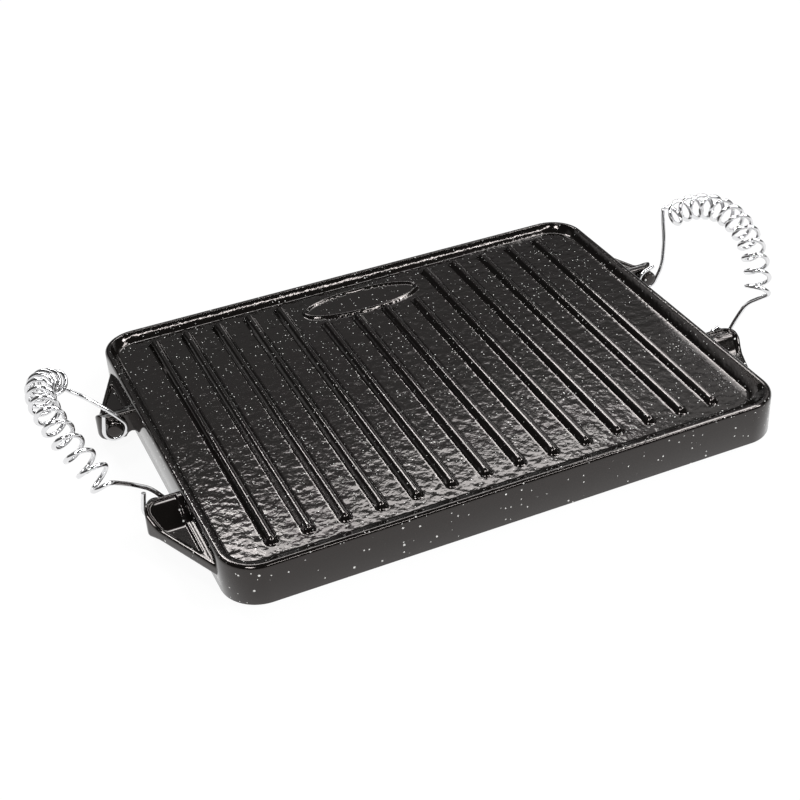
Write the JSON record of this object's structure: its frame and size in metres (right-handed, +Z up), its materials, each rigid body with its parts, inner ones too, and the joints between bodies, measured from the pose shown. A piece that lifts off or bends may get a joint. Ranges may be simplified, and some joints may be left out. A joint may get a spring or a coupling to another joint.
{
  "type": "cast iron grill plate",
  "caption": "Rectangular enamelled cast iron grill plate with raised ridges on a sloping tray floor, cast lugs and a hinged coiled wire handle at each end.",
  "frame": {"origin": "middle of the whole part's box at rest, on the surface that the skirt stands on; the plate's own centre lies 6.5 mm toward +X because the handles lean by different amounts", "axes": "+X along the plate to the right handle, +Y to the edge with the oval badge, +Z up"},
  "size_m": [0.5112, 0.289, 0.0909],
  "materials": {
    "enamel": "gloss black enamel with fine white speckle, slightly hammered on the tray floor",
    "left_wire": "bright plated steel wire",
    "right_wire": "bright plated steel wire"
  },
  "bodies": {
    "plate": {"grill_plate": "enamel"},
    "left_handle_body": {"left_handle": "left_wire"},
    "right_handle_body": {"right_handle": "right_wire"}
  },
  "joints": [
    {"name": "left_handle_hinge", "type": "hinge", "parent": "plate", "child": "left_handle_body", "pos_m": [-0.19899, 0, 0.0165], "axis": [0, 1, 0], "range_deg": [-53, 57]},
    {"name": "right_handle_hinge", "type": "hinge", "parent": "plate", "child": "right_handle_body", "pos_m": [0.21201, 0, 0.0165], "axis": [0, -1, 0], "range_deg": [-62, 67]}
  ]
}
